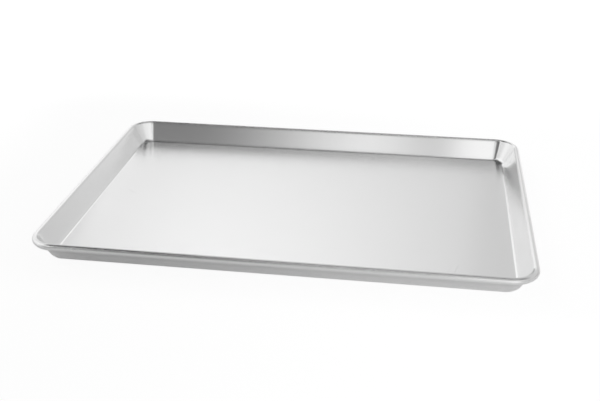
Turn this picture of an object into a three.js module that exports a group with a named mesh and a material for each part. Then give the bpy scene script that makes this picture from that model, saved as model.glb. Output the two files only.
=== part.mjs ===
// Rimmed baking sheet: one drawn aluminium sheet with its edge rolled round a steel wire.
// Millimetres, +Z up. The origin is the middle of the floor's underside; +X runs along the length.
import * as THREE from 'three';

// ---------------------------------------------------------------- driving dimensions
const LENGTH = 533.4;        // over the rolled rim, along X
const WIDTH = 381.0;         // over the rolled rim, along Y
const HEIGHT = 25.4;         // underside of the floor to the top of the rim
const SHEET = 1.0;           // sheet thickness
const WALL_LEAN = 28.4;      // degrees that the walls lean out from vertical
const FLOOR_FILLET = 2.6;    // inside radius between floor and wall along the sides
const CORNER_FILLET = 7.5;   // the same radius in the middle of a plan corner
const RIM_RADIUS = 3.55;     // outside radius of the rolled rim's section
const RIM_CORNER = 30.5;     // plan radius of the rim's outer edge at the corners
const WALL_CORNER_RATE = 0.9; // plan radius lost for each millimetre that the wall moves inwards
const ROLL_SLIT = 0.4;       // slit between the end of the roll and the wall's outer face
const WIRE_DIAMETER = 4.3;   // stiffening wire inside the roll
const WIRE_BUTT_GAP = 3.0;   // gap between the wire's two ends, middle of the rear long side

const CORNER_STEPS = 8;      // facets in each plan corner
const ROLL_STEPS = 3;        // facets in each quarter of the roll
const FILLET_STEPS = 4;      // facets in the floor fillet
const WIRE_STEPS = 10;       // facets round the wire

// ---------------------------------------------------------------- derived section sizes
// The section lies in a plane across the rim: u is the distance inwards from the rim's
// outermost edge, taken as negative inwards so that u grows outwards, and z is the height.
const lean = THREE.MathUtils.degToRad(WALL_LEAN);
const rollU = -RIM_RADIUS;
const rollZ = HEIGHT - RIM_RADIUS;
const rollInner = RIM_RADIUS - SHEET;

// The wall's inner face runs tangent into the outside of the roll.
const tangentAngle = Math.PI - lean;
const wallTopU = rollU + RIM_RADIUS * Math.cos(tangentAngle);
const wallTopZ = rollZ + RIM_RADIUS * Math.sin(tangentAngle);

// Where that face, drawn on, would meet the floor's top.
const wallFootU = wallTopU - (wallTopZ - SHEET) * Math.tan(lean);

// The roll ends where its outside comes within the slit of the wall's outer face.
const rollEnd = tangentAngle + Math.acos((rollInner - ROLL_SLIT) / RIM_RADIUS) - 2 * Math.PI;

// ---------------------------------------------------------------- plan outline
// Plan radius of the corner for a point of the section: concentric over the roll, then
// falling more slowly down the wall, so that the corners lie back more than the sides.
function cornerRadius(u) {
  const flat = Math.max(u, wallTopU);
  return RIM_CORNER + flat + WALL_CORNER_RATE * (u - flat);
}

// Stations round the outline, anticlockwise from above: a corner (sign of x and y), a direction,
// and the floor fillet there, which swells in the middle of the corner.
function cornerStations() {
  const stations = [];
  [[1, 1, 0], [-1, 1, 90], [-1, -1, 180], [1, -1, 270]].forEach(([sx, sy, start]) => {
    for (let i = 0; i <= CORNER_STEPS; i++) {
      const turn = THREE.MathUtils.degToRad(90 * i / CORNER_STEPS);
      stations.push({
        sx, sy,
        angle: THREE.MathUtils.degToRad(start) + turn,
        fillet: THREE.MathUtils.lerp(FLOOR_FILLET, CORNER_FILLET, Math.abs(Math.sin(2 * turn)) ** 1.5),
      });
    }
  });
  return stations;
}

// Point of the section (u, z) at a station.
function place(station, u, z) {
  if (station.x !== undefined) return new THREE.Vector3(station.x, WIDTH / 2 + u, z);
  const r = cornerRadius(u);
  return new THREE.Vector3(
    station.sx * (LENGTH / 2 + u - r) + r * Math.cos(station.angle),
    station.sy * (WIDTH / 2 + u - r) + r * Math.sin(station.angle),
    z
  );
}

// ---------------------------------------------------------------- meshes
function geometryFrom(points, triangles) {
  const geometry = new THREE.BufferGeometry();
  geometry.setAttribute('position', new THREE.Float32BufferAttribute(points.flatMap((p) => [p.x, p.y, p.z]), 3));
  geometry.setIndex(triangles);
  geometry.computeVertexNormals();
  return geometry;
}

// Points of the roll at a radius, from the wall over the top and round to the roll's end, with
// a point at its highest, outermost and lowest place.
function rollPoints(radius) {
  const stops = [tangentAngle, Math.PI / 2, 0, -Math.PI / 2, rollEnd];
  return stops.slice(1).flatMap((stop, i) => {
    const quarter = new THREE.Path();
    quarter.absarc(rollU, rollZ, radius, stops[i], stop, true);
    return quarter.getSpacedPoints(ROLL_STEPS).slice(i === 0 ? 0 : 1);
  });
}

// Section of the sheet from the floor's top, up the wall, round the roll, and back down the
// outside to the floor's underside.
function sheetSection(fillet) {
  const filletU = wallFootU - fillet * Math.tan((Math.PI / 2 - lean) / 2);
  const filletZ = SHEET + fillet;
  const inner = new THREE.Path();
  inner.absarc(filletU, filletZ, fillet, -Math.PI / 2, -lean, false);
  const outer = new THREE.Path();
  outer.absarc(filletU, filletZ, fillet + SHEET, -lean, -Math.PI / 2, true);
  return [
    ...inner.getSpacedPoints(FILLET_STEPS),
    ...rollPoints(RIM_RADIUS),
    ...rollPoints(rollInner).reverse(),
    ...outer.getSpacedPoints(FILLET_STEPS),
  ];
}

function panSheetGeometry() {
  const stations = cornerStations();
  const sections = stations.map((station) => sheetSection(station.fillet));
  const count = stations.length;
  const rows = sections[0].length;
  const points = [];
  for (let i = 0; i < rows; i++) {
    stations.forEach((station, j) => points.push(place(station, sections[j][i].x, sections[j][i].y)));
  }
  const triangles = [];
  for (let i = 0; i + 1 < rows; i++) {
    for (let j = 0; j < count; j++) {
      const a = i * count + j;
      const b = i * count + (j + 1) % count;
      triangles.push(a, a + count, b + count, a, b + count, b);
    }
  }
  // Floor: the same outline closes the top and the underside.
  const outline = points.slice(0, count).map((p) => new THREE.Vector2(p.x, p.y));
  const last = (rows - 1) * count;
  THREE.ShapeUtils.triangulateShape(outline, []).forEach(([a, b, c]) => {
    triangles.push(a, b, c, last + a, last + c, last + b);
  });
  return geometryFrom(points, triangles);
}

function rimWireGeometry() {
  const circle = new THREE.Path();
  circle.absarc(rollU, rollZ, WIRE_DIAMETER / 2, 0, 2 * Math.PI, false);
  const section = circle.getSpacedPoints(WIRE_STEPS).slice(0, WIRE_STEPS);
  const corners = cornerStations();
  const stations = [
    { x: -WIRE_BUTT_GAP / 2 },
    ...corners.slice(CORNER_STEPS + 1),
    ...corners.slice(0, CORNER_STEPS + 1),
    { x: WIRE_BUTT_GAP / 2 },
  ];
  const points = stations.flatMap((station) => section.map((s) => place(station, s.x, s.y)));
  const triangles = [];
  for (let j = 0; j + 1 < stations.length; j++) {
    for (let k = 0; k < WIRE_STEPS; k++) {
      const a = j * WIRE_STEPS + k;
      const d = j * WIRE_STEPS + (k + 1) % WIRE_STEPS;
      triangles.push(a, a + WIRE_STEPS, d + WIRE_STEPS, a, d + WIRE_STEPS, d);
    }
  }
  const last = (stations.length - 1) * WIRE_STEPS;
  for (let k = 1; k + 1 < WIRE_STEPS; k++) {
    triangles.push(0, k, k + 1, last, last + k + 1, last + k);
  }
  return geometryFrom(points, triangles);
}

// ---------------------------------------------------------------- assembly
const aluminium = new THREE.MeshStandardMaterial({ color: 0xd6d8d9, roughness: 0.34, metalness: 1.0 });
const galvanisedSteel = new THREE.MeshStandardMaterial({ color: 0x9ca1a4, roughness: 0.5, metalness: 1.0 });

const panSheet = new THREE.Mesh(panSheetGeometry(), aluminium);
panSheet.name = 'pan_sheet';

const rimWire = new THREE.Mesh(rimWireGeometry(), galvanisedSteel);
rimWire.name = 'rim_wire';

const bakingSheet = new THREE.Group();
bakingSheet.name = 'rimmed_baking_sheet';
bakingSheet.add(panSheet, rimWire);

export default bakingSheet;
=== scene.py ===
import math

import bpy
from mathutils import Matrix, Vector, noise


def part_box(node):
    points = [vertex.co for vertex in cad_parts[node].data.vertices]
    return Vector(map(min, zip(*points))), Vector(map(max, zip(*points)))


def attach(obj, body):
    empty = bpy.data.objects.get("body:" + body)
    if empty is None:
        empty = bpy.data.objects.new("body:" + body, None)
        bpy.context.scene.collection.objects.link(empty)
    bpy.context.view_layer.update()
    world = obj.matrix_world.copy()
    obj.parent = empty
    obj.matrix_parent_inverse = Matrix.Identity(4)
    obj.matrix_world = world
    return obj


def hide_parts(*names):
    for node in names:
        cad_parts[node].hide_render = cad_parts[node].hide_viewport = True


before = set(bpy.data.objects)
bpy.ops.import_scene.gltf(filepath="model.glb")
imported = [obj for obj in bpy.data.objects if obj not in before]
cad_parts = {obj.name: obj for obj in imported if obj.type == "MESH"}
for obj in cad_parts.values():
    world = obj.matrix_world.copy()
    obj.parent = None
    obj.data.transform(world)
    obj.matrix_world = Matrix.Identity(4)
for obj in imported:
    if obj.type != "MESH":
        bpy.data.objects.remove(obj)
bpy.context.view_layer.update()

# ------------------------------------------------------------------ sizes, in metres
# Read from the frame where it states them, and repeated from the construction otherwise.
lo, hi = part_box("pan_sheet")
HALF_X = (hi.x - lo.x) / 2
HALF_Y = (hi.y - lo.y) / 2
HEIGHT = hi.z
SHEET = 0.0010
LEAN = math.radians(28.4)
FILLET = 0.0026
CORNER_FILLET = 0.0075
ROLL = 0.00355
ROLL_CORNER = 0.0305
WALL_RATE = 0.9
SLIT = 0.00012
WIRE = 0.0043
BUTT_GAP = 0.003

ROLL_U, ROLL_Z = -ROLL, HEIGHT - ROLL
TANGENT = math.pi - LEAN
WALL_TOP_U = ROLL_U + ROLL * math.cos(TANGENT)
WALL_TOP_Z = ROLL_Z + ROLL * math.sin(TANGENT)
WALL_FOOT_U = WALL_TOP_U - (WALL_TOP_Z - SHEET) * math.tan(LEAN)
FLOOR_U = WALL_FOOT_U - FILLET * math.tan((math.pi / 2 - LEAN) / 2)
ROLL_END = TANGENT + math.acos((ROLL - SHEET - SLIT) / ROLL) - 2 * math.pi

CORNER_N = 30
LONG_N, SHORT_N = 72, 52


# ------------------------------------------------------------------ plan outline
def corner_radius(u):
    flat = max(u, WALL_TOP_U)
    return ROLL_CORNER + flat + WALL_RATE * (u - flat)


def stations():
    """Places round the outline, anticlockwise from above: (corner signs, direction, share along the side that
    follows, floor fillet). The fillet swells in the middle of a corner."""
    out = []
    for sx, sy, start, side in ((1, 1, 0, LONG_N), (-1, 1, 90, SHORT_N), (-1, -1, 180, LONG_N), (1, -1, 270, SHORT_N)):
        for i in range(CORNER_N + 1):
            turn = math.radians(90 * i / CORNER_N)
            fillet = FILLET + (CORNER_FILLET - FILLET) * abs(math.sin(2 * turn)) ** 1.5
            out.append((sx, sy, math.radians(start) + turn, 0.0, fillet))
        for i in range(1, side):
            out.append((sx, sy, math.radians(start + 90), i / side, FILLET))
    return out


STATIONS = stations()


def place(station, u):
    """Plan position of a section's u at a station."""
    sx, sy, angle, share, _ = station
    r = corner_radius(u)
    cx, cy = sx * (HALF_X + u - r), sy * (HALF_Y + u - r)
    x, y = cx + r * math.cos(angle), cy + r * math.sin(angle)
    if share:
        if abs(math.sin(angle)) > 0.5:
            x -= share * 2 * cx
        else:
            y -= share * 2 * cy
    return x, y


# ------------------------------------------------------------------ section of the sheet
def arc(cu, cz, r, a0, a1, n):
    return [(cu + r * math.cos(a0 + (a1 - a0) * i / n), cz + r * math.sin(a0 + (a1 - a0) * i / n)) for i in range(n + 1)]


def line(p, q, n):
    return [(p[0] + (q[0] - p[0]) * i / n, p[1] + (q[1] - p[1]) * i / n) for i in range(1, n)]


def sheet_section(fillet):
    """From the floor's top edge up the wall, over the roll, round its rounded lip and back to the floor's underside:
    (u, z, reach along the sheet from the floor's edge)."""
    fillet_u = WALL_FOOT_U - fillet * math.tan((math.pi / 2 - LEAN) / 2)
    fillet_z = SHEET + fillet
    inner = arc(fillet_u, fillet_z, fillet, -math.pi / 2, -LEAN, 12)
    over = arc(ROLL_U, ROLL_Z, ROLL, TANGENT, ROLL_END, 56)
    middle = ROLL - SHEET / 2
    lip = (ROLL_U + middle * math.cos(ROLL_END), ROLL_Z + middle * math.sin(ROLL_END))
    nose = arc(lip[0], lip[1], SHEET / 2, ROLL_END, ROLL_END - math.pi, 8)[1:-1]
    under = arc(ROLL_U, ROLL_Z, ROLL - SHEET, ROLL_END, TANGENT, 40)
    outer = arc(fillet_u, fillet_z, fillet + SHEET, -LEAN, -math.pi / 2, 12)
    up = line(inner[-1], over[0], 10)
    down = line(under[-1], outer[0], 10)
    points = inner + up + over + nose + under + down + outer
    first_back = len(inner + up + over + nose)
    reach = [0.0]
    for a, b in zip(points, points[1:]):
        reach.append(reach[-1] + math.hypot(b[0] - a[0], b[1] - a[1]))
    # The back of the sheet counts its reach from the floor again.
    total_back = reach[-1] - reach[first_back]
    top = reach[first_back - 1]
    out = []
    for i, (p, s) in enumerate(zip(points, reach)):
        if i >= first_back:
            s = top * (1 - (s - reach[first_back]) / total_back)
        out.append((p[0], p[1], s))
    return out


def floor_swell(x, y):
    """Slight unevenness of a drawn floor, fading out at its edge. Never below the flat."""
    ex = max(0.0, 1 - (abs(x) / (HALF_X + FLOOR_U)) ** 6)
    ey = max(0.0, 1 - (abs(y) / (HALF_Y + FLOOR_U)) ** 6)
    n = noise.noise(Vector((x * 6.0 + 3.1, y * 7.0 - 1.7, 0.4)))
    return ex * ey * 0.00010 * (0.5 + 0.5 * n)


def make_mesh(name, verts, faces, grain):
    """A smooth mesh with a UV map in metres, given corner by corner, whose U runs along the metal's grain."""
    mesh = bpy.data.meshes.new(name)
    mesh.from_pydata(verts, [], faces)
    layer = mesh.uv_layers.new(name="grain")
    layer.data.foreach_set("uv", [c for face in grain for uv in face for c in uv])
    mesh.polygons.foreach_set("use_smooth", [True] * len(mesh.polygons))
    mesh.validate()
    mesh.update()
    obj = bpy.data.objects.new(name, mesh)
    bpy.context.scene.collection.objects.link(obj)
    return obj


def build_pan():
    made = {}
    for st in STATIONS:
        made.setdefault(st[4], sheet_section(st[4]))
    sections = [made[st[4]] for st in STATIONS]
    count, rows = len(STATIONS), len(sections[0])
    verts, faces, grain = [], [], []
    for i in range(rows):
        for st, section in zip(STATIONS, sections):
            verts.append((*place(st, section[i][0]), section[i][1]))
    # Round the walls and the roll the grain follows the outline: distance along it, then up the sheet.
    along = [0.0]
    for st, following in zip(STATIONS, STATIONS[1:] + STATIONS[:1]):
        p, q = place(st, WALL_TOP_U), place(following, WALL_TOP_U)
        along.append(along[-1] + math.hypot(q[0] - p[0], q[1] - p[1]))
    for i in range(rows - 1):
        for j in range(count):
            k = (j + 1) % count
            a, b = i * count + j, i * count + k
            faces.append((a, a + count, b + count, b))
            grain.append(((along[j], sections[j][i][2]), (along[j], sections[j][i + 1][2]),
                          (along[j + 1], sections[k][i + 1][2]), (along[j + 1], sections[k][i][2])))
    # Floor, top and underside: rings drawing in to a middle point.
    rings = 26
    for base, z, flip in ((0, SHEET, False), ((rows - 1) * count, 0.0, True)):
        edge = [base + j for j in range(count)]
        prev = edge
        for k in range(1, rings):
            share = 1 - k / rings
            ring = []
            for j in edge:
                x, y = verts[j][0] * share, verts[j][1] * share
                verts.append((x, y, z + floor_swell(x, y)))
                ring.append(len(verts) - 1)
            for j in range(count):
                a, b, c, d = prev[j], prev[(j + 1) % count], ring[(j + 1) % count], ring[j]
                faces.append((d, c, b, a) if flip else (a, b, c, d))
                grain.append(tuple(verts[v][:2] for v in faces[-1]))
            prev = ring
        verts.append((0.0, 0.0, z + floor_swell(0.0, 0.0)))
        m = len(verts) - 1
        for j in range(count):
            a, b = prev[j], prev[(j + 1) % count]
            faces.append((m, b, a) if flip else (a, b, m))
            grain.append(tuple(verts[v][:2] for v in faces[-1]))
    return make_mesh("pan_body", verts, faces, grain)


def build_wire():
    sides, r = 20, WIRE / 2
    ring = [(ROLL_U + r * math.cos(2 * math.pi * k / sides), ROLL_Z + r * math.sin(2 * math.pi * k / sides)) for k in range(sides)]
    # Starts and ends beside the butt gap in the middle of the rear long side.
    rear = CORNER_N + LONG_N // 2
    order = [STATIONS[(rear + 1 + j) % len(STATIONS)] for j in range(len(STATIONS) - 1)]
    verts, faces, grain, runs = [], [], [], []
    run = 0.0
    last = None
    rows = [[(-BUTT_GAP / 2, HALF_Y + u, z) for u, z in ring]]
    rows += [[(*place(st, u), z) for u, z in ring] for st in order]
    rows += [[(BUTT_GAP / 2, HALF_Y + u, z) for u, z in ring]]
    for row in rows:
        mid = Vector(row[0])
        run += (mid - last).length if last else 0.0
        last = mid
        runs.append(run)
        verts.extend(row)
    step_round = math.pi * WIRE / sides
    for j in range(len(rows) - 1):
        for k in range(sides):
            a, d = j * sides + k, j * sides + (k + 1) % sides
            faces.append((a, a + sides, d + sides, d))
            grain.append(((runs[j], k * step_round), (runs[j + 1], k * step_round),
                          (runs[j + 1], (k + 1) * step_round), (runs[j], (k + 1) * step_round)))
    # Sheared ends: a small bevel, then the flat cut.
    for base, step, flip in ((0, BUTT_GAP * 0.05, False), ((len(rows) - 1) * sides, -BUTT_GAP * 0.05, True)):
        ids = []
        for k, (u, z) in enumerate(ring):
            x = verts[base + k][0] + step
            uu, zz = ROLL_U + (u - ROLL_U) * 0.9, ROLL_Z + (z - ROLL_Z) * 0.9
            verts.append((x, HALF_Y + uu, zz))
            ids.append(len(verts) - 1)
        for k in range(sides):
            a, b, c, d = base + k, base + (k + 1) % sides, ids[(k + 1) % sides], ids[k]
            faces.append((d, c, b, a) if flip else (a, b, c, d))
            grain.append(tuple(verts[v][1:] for v in faces[-1]))
        faces.append(tuple(reversed(ids)) if flip else tuple(ids))
        grain.append(tuple(verts[v][1:] for v in faces[-1]))
    return make_mesh("rim_wire_core", verts, faces, grain)


# ------------------------------------------------------------------ materials
def new_material(name):
    m = bpy.data.materials.new(name)
    m.use_nodes = True
    nt = m.node_tree
    nt.nodes.clear()
    out = nt.nodes.new("ShaderNodeOutputMaterial")
    bsdf = nt.nodes.new("ShaderNodeBsdfPrincipled")
    nt.links.new(bsdf.outputs["BSDF"], out.inputs["Surface"])
    return m, nt, bsdf


def math_node(nt, operation, *values):
    node = nt.nodes.new("ShaderNodeMath")
    node.operation = operation
    for socket, v in zip(node.inputs, values):
        if hasattr(v, "is_linked"):
            nt.links.new(v, socket)
        else:
            socket.default_value = v
    return node.outputs[0]


def soft_edge(nt, value, middle, width, rising):
    node = nt.nodes.new("ShaderNodeMapRange")
    node.interpolation_type = "SMOOTHSTEP"
    nt.links.new(value, node.inputs["Value"])
    node.inputs["From Min"].default_value = middle - width / 2
    node.inputs["From Max"].default_value = middle + width / 2
    node.inputs["To Min"].default_value = 0.0 if rising else 1.0
    node.inputs["To Max"].default_value = 1.0 if rising else 0.0
    return node.outputs["Result"]


def grain_uv(nt):
    node = nt.nodes.new("ShaderNodeUVMap")
    node.uv_map = "grain"
    return node.outputs["UV"]


def object_xyz(nt):
    return nt.nodes.new("ShaderNodeTexCoord").outputs["Object"]


def noise_at(nt, vector, scale, turn=0.0, shift=0.0, detail=2.0):
    """Noise of 0 to 1, with its own number of features per metre along each axis, after turning the axes."""
    place = nt.nodes.new("ShaderNodeMapping")
    place.vector_type = "TEXTURE"
    place.inputs["Rotation"].default_value = (0.0, 0.0, math.radians(turn))
    place.inputs["Scale"].default_value = tuple(1.0 / s for s in scale)
    place.inputs["Location"].default_value = (shift, shift * 0.7, 0.0)
    nt.links.new(vector, place.inputs["Vector"])
    node = nt.nodes.new("ShaderNodeTexNoise")
    node.inputs["Scale"].default_value = 1.0
    node.inputs["Detail"].default_value = detail
    nt.links.new(place.outputs[0], node.inputs["Vector"])
    return node.outputs["Fac"]


def rim_reach(nt, x, y):
    """Distance out from the pan's outer outline: nought on it, negative inside."""
    qx = math_node(nt, "SUBTRACT", math_node(nt, "ABSOLUTE", x), HALF_X - ROLL_CORNER)
    qy = math_node(nt, "SUBTRACT", math_node(nt, "ABSOLUTE", y), HALF_Y - ROLL_CORNER)
    ox, oy = math_node(nt, "MAXIMUM", qx, 0.0), math_node(nt, "MAXIMUM", qy, 0.0)
    out = math_node(nt, "SQRT", math_node(nt, "ADD", math_node(nt, "MULTIPLY", ox, ox), math_node(nt, "MULTIPLY", oy, oy)))
    inside = math_node(nt, "MINIMUM", math_node(nt, "MAXIMUM", qx, qy), 0.0)
    return math_node(nt, "SUBTRACT", math_node(nt, "ADD", out, inside), ROLL_CORNER)


def centred(nt, value, amount):
    """A noise value turned into plus or minus the amount, about nought."""
    return math_node(nt, "MULTIPLY", math_node(nt, "SUBTRACT", value, 0.5), 2.0 * amount)


def add_up(nt, *values):
    total = values[0]
    for v in values[1:]:
        total = math_node(nt, "ADD", total, v)
    return total


def grey(nt, value, socket):
    node = nt.nodes.new("ShaderNodeCombineColor")
    for s in node.inputs:
        nt.links.new(value, s)
    nt.links.new(node.outputs[0], socket)


def aluminium():
    """Bright satin aluminium sheet: rolling grain along the floor, burnished round the walls and rim."""
    m, nt, bsdf = new_material("satin_aluminium")
    bsdf.inputs["Metallic"].default_value = 1.0
    bsdf.inputs["Anisotropic"].default_value = 0.92
    bsdf.inputs["Anisotropic Rotation"].default_value = 0.25
    tangent = nt.nodes.new("ShaderNodeTangent")
    tangent.direction_type = "UV_MAP"
    tangent.uv_map = "grain"
    nt.links.new(tangent.outputs["Tangent"], bsdf.inputs["Tangent"])

    uv, xyz = grain_uv(nt), object_xyz(nt)
    split = nt.nodes.new("ShaderNodeSeparateXYZ")
    nt.links.new(xyz, split.inputs[0])
    z = split.outputs["Z"]
    wall = soft_edge(nt, z, 0.0040, 0.0050, True)
    flat = math_node(nt, "SUBTRACT", 1.0, wall)
    crown = soft_edge(nt, z, HEIGHT - 0.0009, 0.0012, True)
    # Rolling the edge over stretches the metal there and leaves it a little duller than the wall.
    rolled = soft_edge(nt, rim_reach(nt, split.outputs["X"], split.outputs["Y"]), WALL_TOP_U, 0.0016, True)

    # The rolling grain is plain on the floor, and mostly burnished away on the walls and the roll.
    calm = math_node(nt, "MULTIPLY_ADD", soft_edge(nt, z, 0.0045, 0.0060, False), 0.78, 0.22)
    hair = math_node(nt, "MULTIPLY", centred(nt, noise_at(nt, uv, (14.0, 2600.0, 1.0)), 1.0), calm)
    streak = math_node(nt, "MULTIPLY", centred(nt, noise_at(nt, uv, (2.2, 260.0, 1.0), shift=0.31), 1.0), calm)
    cloud = noise_at(nt, xyz, (13.0, 17.0, 13.0), shift=0.17, detail=3.0)
    # Faint marks that the die leaves up the walls.
    draw = math_node(nt, "MULTIPLY", centred(nt, noise_at(nt, uv, (150.0, 9.0, 1.0), shift=0.53), 1.0), wall)
    broad = math_node(nt, "MULTIPLY", centred(nt, noise_at(nt, uv, (16.0, 12.0, 1.0), shift=0.77), 1.0), wall)
    # Sparse short scuffs on the floor, in three directions.
    scuffs = None
    for turn, shift in ((24.0, 0.11), (-38.0, 0.43), (76.0, 0.68)):
        thin = soft_edge(nt, noise_at(nt, xyz, (26.0, 1500.0, 1.0), turn, shift, 0.0), 0.79, 0.06, True)
        where = soft_edge(nt, noise_at(nt, xyz, (9.0, 9.0, 1.0), turn, shift + 0.2, 1.0), 0.62, 0.12, True)
        one = math_node(nt, "MULTIPLY", thin, where)
        scuffs = one if scuffs is None else math_node(nt, "MAXIMUM", scuffs, one)
    scuffs = math_node(nt, "MULTIPLY", scuffs, flat)
    # The crown of the rim is rubbed brighter where hands and racks touch it.
    rub = math_node(nt, "MULTIPLY", crown, soft_edge(nt, noise_at(nt, uv, (30.0, 200.0, 1.0), shift=0.9), 0.5, 0.5, True))

    # Painted shade: the outside of the wall just under the roll, where it faces down, gets a darker base colour (and a
    # little more roughness), standing in for the shade in the crease there.
    facing = nt.nodes.new("ShaderNodeSeparateXYZ")
    nt.links.new(nt.nodes.new("ShaderNodeNewGeometry").outputs["Normal"], facing.inputs[0])
    under_roll_painted_shade = math_node(nt, "MULTIPLY", soft_edge(nt, facing.outputs["Z"], -0.30, 0.20, False), soft_edge(nt, z, 0.0115, 0.0080, True))
    under_roll_painted_shade = math_node(nt, "MULTIPLY", under_roll_painted_shade, math_node(nt, "SUBTRACT", 1.0, rolled))

    # The colour takes the painted shade under the roll, beside the grain, cloud, die marks, scuffs and rubbed wear.
    tone = add_up(nt, math_node(nt, "MULTIPLY", under_roll_painted_shade, -0.13), math_node(nt, "MULTIPLY", hair, 0.020), math_node(nt, "MULTIPLY", streak, 0.012), centred(nt, cloud, 0.012),
                  math_node(nt, "MULTIPLY", draw, 0.006), math_node(nt, "MULTIPLY", broad, 0.016),
                  math_node(nt, "MULTIPLY", scuffs, -0.05), math_node(nt, "MULTIPLY", rub, 0.02))
    tone = math_node(nt, "ADD", tone, math_node(nt, "MULTIPLY", flat, 0.05))
    grey(nt, math_node(nt, "ADD", tone, 0.90), bsdf.inputs["Base Color"])

    rough = add_up(nt, math_node(nt, "MULTIPLY", hair, 0.022), math_node(nt, "MULTIPLY", streak, 0.008), centred(nt, cloud, 0.010),
                   math_node(nt, "MULTIPLY", draw, 0.005), math_node(nt, "MULTIPLY", broad, 0.008),
                   math_node(nt, "MULTIPLY", scuffs, 0.08), math_node(nt, "MULTIPLY", rub, -0.02),
                   math_node(nt, "MULTIPLY", rolled, 0.10), math_node(nt, "MULTIPLY", under_roll_painted_shade, 0.04))
    rough = math_node(nt, "ADD", rough, math_node(nt, "MULTIPLY", flat, 0.028))
    nt.links.new(math_node(nt, "ADD", rough, 0.17), bsdf.inputs["Roughness"])

    height = add_up(nt, math_node(nt, "MULTIPLY", hair, 0.16), math_node(nt, "MULTIPLY", streak, 0.10),
                    math_node(nt, "MULTIPLY", draw, 0.06), math_node(nt, "MULTIPLY", scuffs, -1.0))
    bump = nt.nodes.new("ShaderNodeBump")
    bump.inputs["Strength"].default_value = 0.5
    bump.inputs["Distance"].default_value = 0.000006
    nt.links.new(height, bump.inputs["Height"])
    nt.links.new(bump.outputs["Normal"], bsdf.inputs["Normal"])
    return m


def galvanised():
    """Zinc-coated drawn wire: patches of zinc crystal over faint die lines."""
    m, nt, bsdf = new_material("galvanised_wire")
    bsdf.inputs["Metallic"].default_value = 1.0
    uv = grain_uv(nt)
    cells = nt.nodes.new("ShaderNodeTexVoronoi")
    cells.inputs["Scale"].default_value = 650.0
    nt.links.new(uv, cells.inputs["Vector"])
    spangle = nt.nodes.new("ShaderNodeSeparateColor")
    nt.links.new(cells.outputs["Color"], spangle.inputs[0])
    lines = noise_at(nt, uv, (18.0, 3200.0, 1.0))
    dull = noise_at(nt, uv, (45.0, 160.0, 1.0), shift=0.4, detail=3.0)
    tone = add_up(nt, centred(nt, spangle.outputs[0], 0.05), centred(nt, lines, 0.03), centred(nt, dull, 0.05))
    grey(nt, math_node(nt, "ADD", tone, 0.60), bsdf.inputs["Base Color"])
    rough = add_up(nt, centred(nt, spangle.outputs[1], 0.07), centred(nt, dull, 0.08))
    nt.links.new(math_node(nt, "ADD", rough, 0.45), bsdf.inputs["Roughness"])
    bump = nt.nodes.new("ShaderNodeBump")
    bump.inputs["Strength"].default_value = 0.4
    bump.inputs["Distance"].default_value = 0.00001
    nt.links.new(math_node(nt, "ADD", lines, dull), bump.inputs["Height"])
    nt.links.new(bump.outputs["Normal"], bsdf.inputs["Normal"])
    return m


pan = build_pan()
pan.data.materials.append(aluminium())
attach(pan, "root")
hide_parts("pan_sheet")

wire = build_wire()
wire.data.materials.append(galvanised())
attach(wire, "root")
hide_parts("rim_wire")


# ------------------------------------------------------------------ stage
# Soft panels round the table. Each is: left edge, its softness, right edge, its softness, lower edge, its softness,
# upper edge, its softness (degrees; bearings from the front, positive towards +X), strength.
PANELS = {
    "left_box": (-157.4, 3.5, -63.0, 50.5, -6.0, 4.0, 28.5, 32.0, 0.90),
    "front_left": (-130.7, 25.0, -33.2, 4.6, 28.0, 34.0, 55.4, 7.7, 1.08),
    "front_wide": (-33.3, 39.3, 105.2, 41.6, -5.0, 10.9, 35.9, 36.4, 0.41),
    "front_strip": (-10.2, 15.6, 0.6, 14.1, 29.2, 13.7, 41.0, 6.9, 1.29),
    "front_right": (2.2, 1.1, 82.1, 60.0, 23.4, 5.8, 58.1, 3.7, 0.75),
    "back_wide": (94.2, 59.9, 203.2, 0.9, 6.6, 27.3, 55.0, 26.0, 0.63),
    "back_left": (182.5, 30.1, 224.8, 1.8, 21.7, 29.9, 42.8, 2.6, 0.53),
    "back_low": (146.5, 54.1, 173.3, 2.0, -6.0, 4.0, 10.7, 7.2, 0.87),
    "top_front": (-68.9, 1.3, 30.0, 62.0, 65.1, 5.1, 96.0, 4.0, 0.75),
    "top_back": (65.3, 29.7, 234.6, 18.0, 68.2, 2.0, 96.0, 4.0, 0.27),
    "high_left": (-58.1, 6.6, -47.9, 4.3, 53.6, 3.4, 59.2, 2.6, 2.54),
    "low_right": (3.9, 9.2, 38.5, 14.8, -6.0, 4.0, 21.6, 37.5, 0.82),
    "top_right": (40.0, 14.0, 116.0, 14.0, 65.0, 5.0, 86.0, 4.0, 0.55),
    "back_step": (176.3, 1.6, 196.0, 34.0, 14.0, 8.0, 48.0, 10.0, 0.07),
}
# Light that the table itself gives back, beside what falls on it from the panels: a base, a rise towards the right, and
# bright far edges. Each rise is: middle, width (metres), strength.
GLOW_BASE = 0.006
GLOW_RIGHT = (0.005, 0.474, 0.150)
GLOW_FAR_LEFT = (-0.50, 0.30, 0.52)
GLOW_FAR_RIGHT = (0.50, 0.30, 0.15)
GLOW_FAR_BACK = (0.42, 0.30, 0.60)
GLOW_FRONT = (-0.215, 0.050, 0.060)


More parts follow.
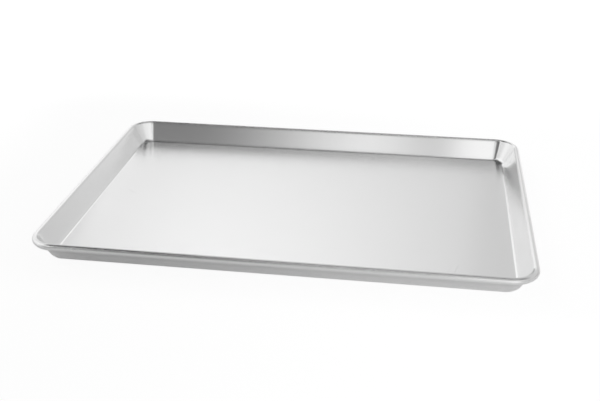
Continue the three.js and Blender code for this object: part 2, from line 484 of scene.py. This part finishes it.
def studio_world():
    world = bpy.data.worlds.new("studio")
    world.use_nodes = True
    nt = world.node_tree
    nt.nodes.clear()
    xyz = nt.nodes.new("ShaderNodeSeparateXYZ")
    nt.links.new(nt.nodes.new("ShaderNodeTexCoord").outputs["Generated"], xyz.inputs[0])
    x, y, z = xyz.outputs
    bearing = math_node(nt, "DEGREES", math_node(nt, "ARCTAN2", x, math_node(nt, "MULTIPLY", y, -1.0)))
    height = math_node(nt, "DEGREES", math_node(nt, "ARCSINE", z))
    total = None
    for left, left_soft, right, right_soft, low, low_soft, top, top_soft, strength in PANELS.values():
        middle = (left + right) / 2
        turn = math_node(nt, "WRAP", bearing, middle + 180.0, middle - 180.0)
        light = math_node(nt, "MULTIPLY", soft_edge(nt, turn, left, left_soft, True), soft_edge(nt, turn, right, right_soft, False))
        light = math_node(nt, "MULTIPLY", light, soft_edge(nt, height, low, low_soft, True))
        light = math_node(nt, "MULTIPLY", light, soft_edge(nt, height, top, top_soft, False))
        light = math_node(nt, "MULTIPLY", light, strength)
        total = light if total is None else math_node(nt, "ADD", total, light)
    # Seen straight on, the room behind the table is plain white.
    seen = nt.nodes.new("ShaderNodeLightPath").outputs["Is Camera Ray"]
    total = math_node(nt, "MAXIMUM", total, seen)
    back = nt.nodes.new("ShaderNodeBackground")
    out = nt.nodes.new("ShaderNodeOutputWorld")
    nt.links.new(total, back.inputs["Color"])
    nt.links.new(back.outputs[0], out.inputs["Surface"])
    return world


def floor_material():
    """A white table that lights the pan as a matt surface does, and is seen as bright paper with a faint shadow."""
    m, nt, bsdf = new_material("studio_floor")
    bsdf.inputs["Base Color"].default_value = (0.9, 0.9, 0.9, 1)
    bsdf.inputs["Roughness"].default_value = 0.9
    bsdf.inputs["Specular IOR Level"].default_value = 0.0
    bsdf.inputs["Emission Color"].default_value = (1, 1, 1, 1)
    split = nt.nodes.new("ShaderNodeSeparateXYZ")
    nt.links.new(object_xyz(nt), split.inputs[0])
    x, y, _ = split.outputs

    def rise(value, spec, rising=True):
        return math_node(nt, "MULTIPLY", soft_edge(nt, value, spec[0], spec[1], rising), spec[2])

    glow = math_node(nt, "ADD", rise(x, GLOW_RIGHT), GLOW_BASE)
    for value, spec, rising in ((x, GLOW_FAR_LEFT, False), (x, GLOW_FAR_RIGHT, True), (y, GLOW_FAR_BACK, True), (y, GLOW_FRONT, False)):
        glow = math_node(nt, "ADD", glow, rise(value, spec, rising))
    nt.links.new(glow, bsdf.inputs["Emission Strength"])
    paper = nt.nodes.new("ShaderNodeEmission")
    paper.inputs["Strength"].default_value = 1.05
    lit = nt.nodes.new("ShaderNodeMixShader")
    lit.inputs["Fac"].default_value = 0.86
    nt.links.new(bsdf.outputs[0], lit.inputs[1])
    nt.links.new(paper.outputs[0], lit.inputs[2])
    pick = nt.nodes.new("ShaderNodeMixShader")
    nt.links.new(nt.nodes.new("ShaderNodeLightPath").outputs["Is Camera Ray"], pick.inputs["Fac"])
    nt.links.new(bsdf.outputs[0], pick.inputs[1])
    nt.links.new(lit.outputs[0], pick.inputs[2])
    out = next(n for n in nt.nodes if n.type == "OUTPUT_MATERIAL")
    nt.links.new(pick.outputs[0], out.inputs["Surface"])
    return m


mesh = bpy.data.meshes.new("studio_floor")
s = 8.0
mesh.from_pydata([(-s, -s, -0.0002), (s, -s, -0.0002), (s, s, -0.0002), (-s, s, -0.0002)], [], [(0, 1, 2, 3)])
ground = bpy.data.objects.new("studio_floor", mesh)
bpy.context.scene.collection.objects.link(ground)
ground.data.materials.append(floor_material())

bpy.context.scene.world = studio_world()

scene = bpy.context.scene
scene.view_settings.view_transform = "Standard"
scene.view_settings.look = "None"

# ------------------------------------------------------------------ camera
cam_data = bpy.data.cameras.new("camera")
cam_data.sensor_fit = "HORIZONTAL"
cam_data.sensor_width = 36.0
cam_data.lens = 904.8427 * 36.0 / 600.0
cam_data.clip_start, cam_data.clip_end = 0.01, 100.0
camera = bpy.data.objects.new("camera", cam_data)
scene.collection.objects.link(camera)
azimuth, elevation = math.radians(8.532), math.radians(25.3883)
back = Vector((math.sin(azimuth) * math.cos(elevation), -math.cos(azimuth) * math.cos(elevation), math.sin(elevation)))
camera.location = Vector((-0.0021655, 0.0108764, 0.0)) + back * 1.1046674
camera.rotation_mode = "QUATERNION"
camera.rotation_quaternion = (-back).to_track_quat("-Z", "Y")
scene.camera = camera
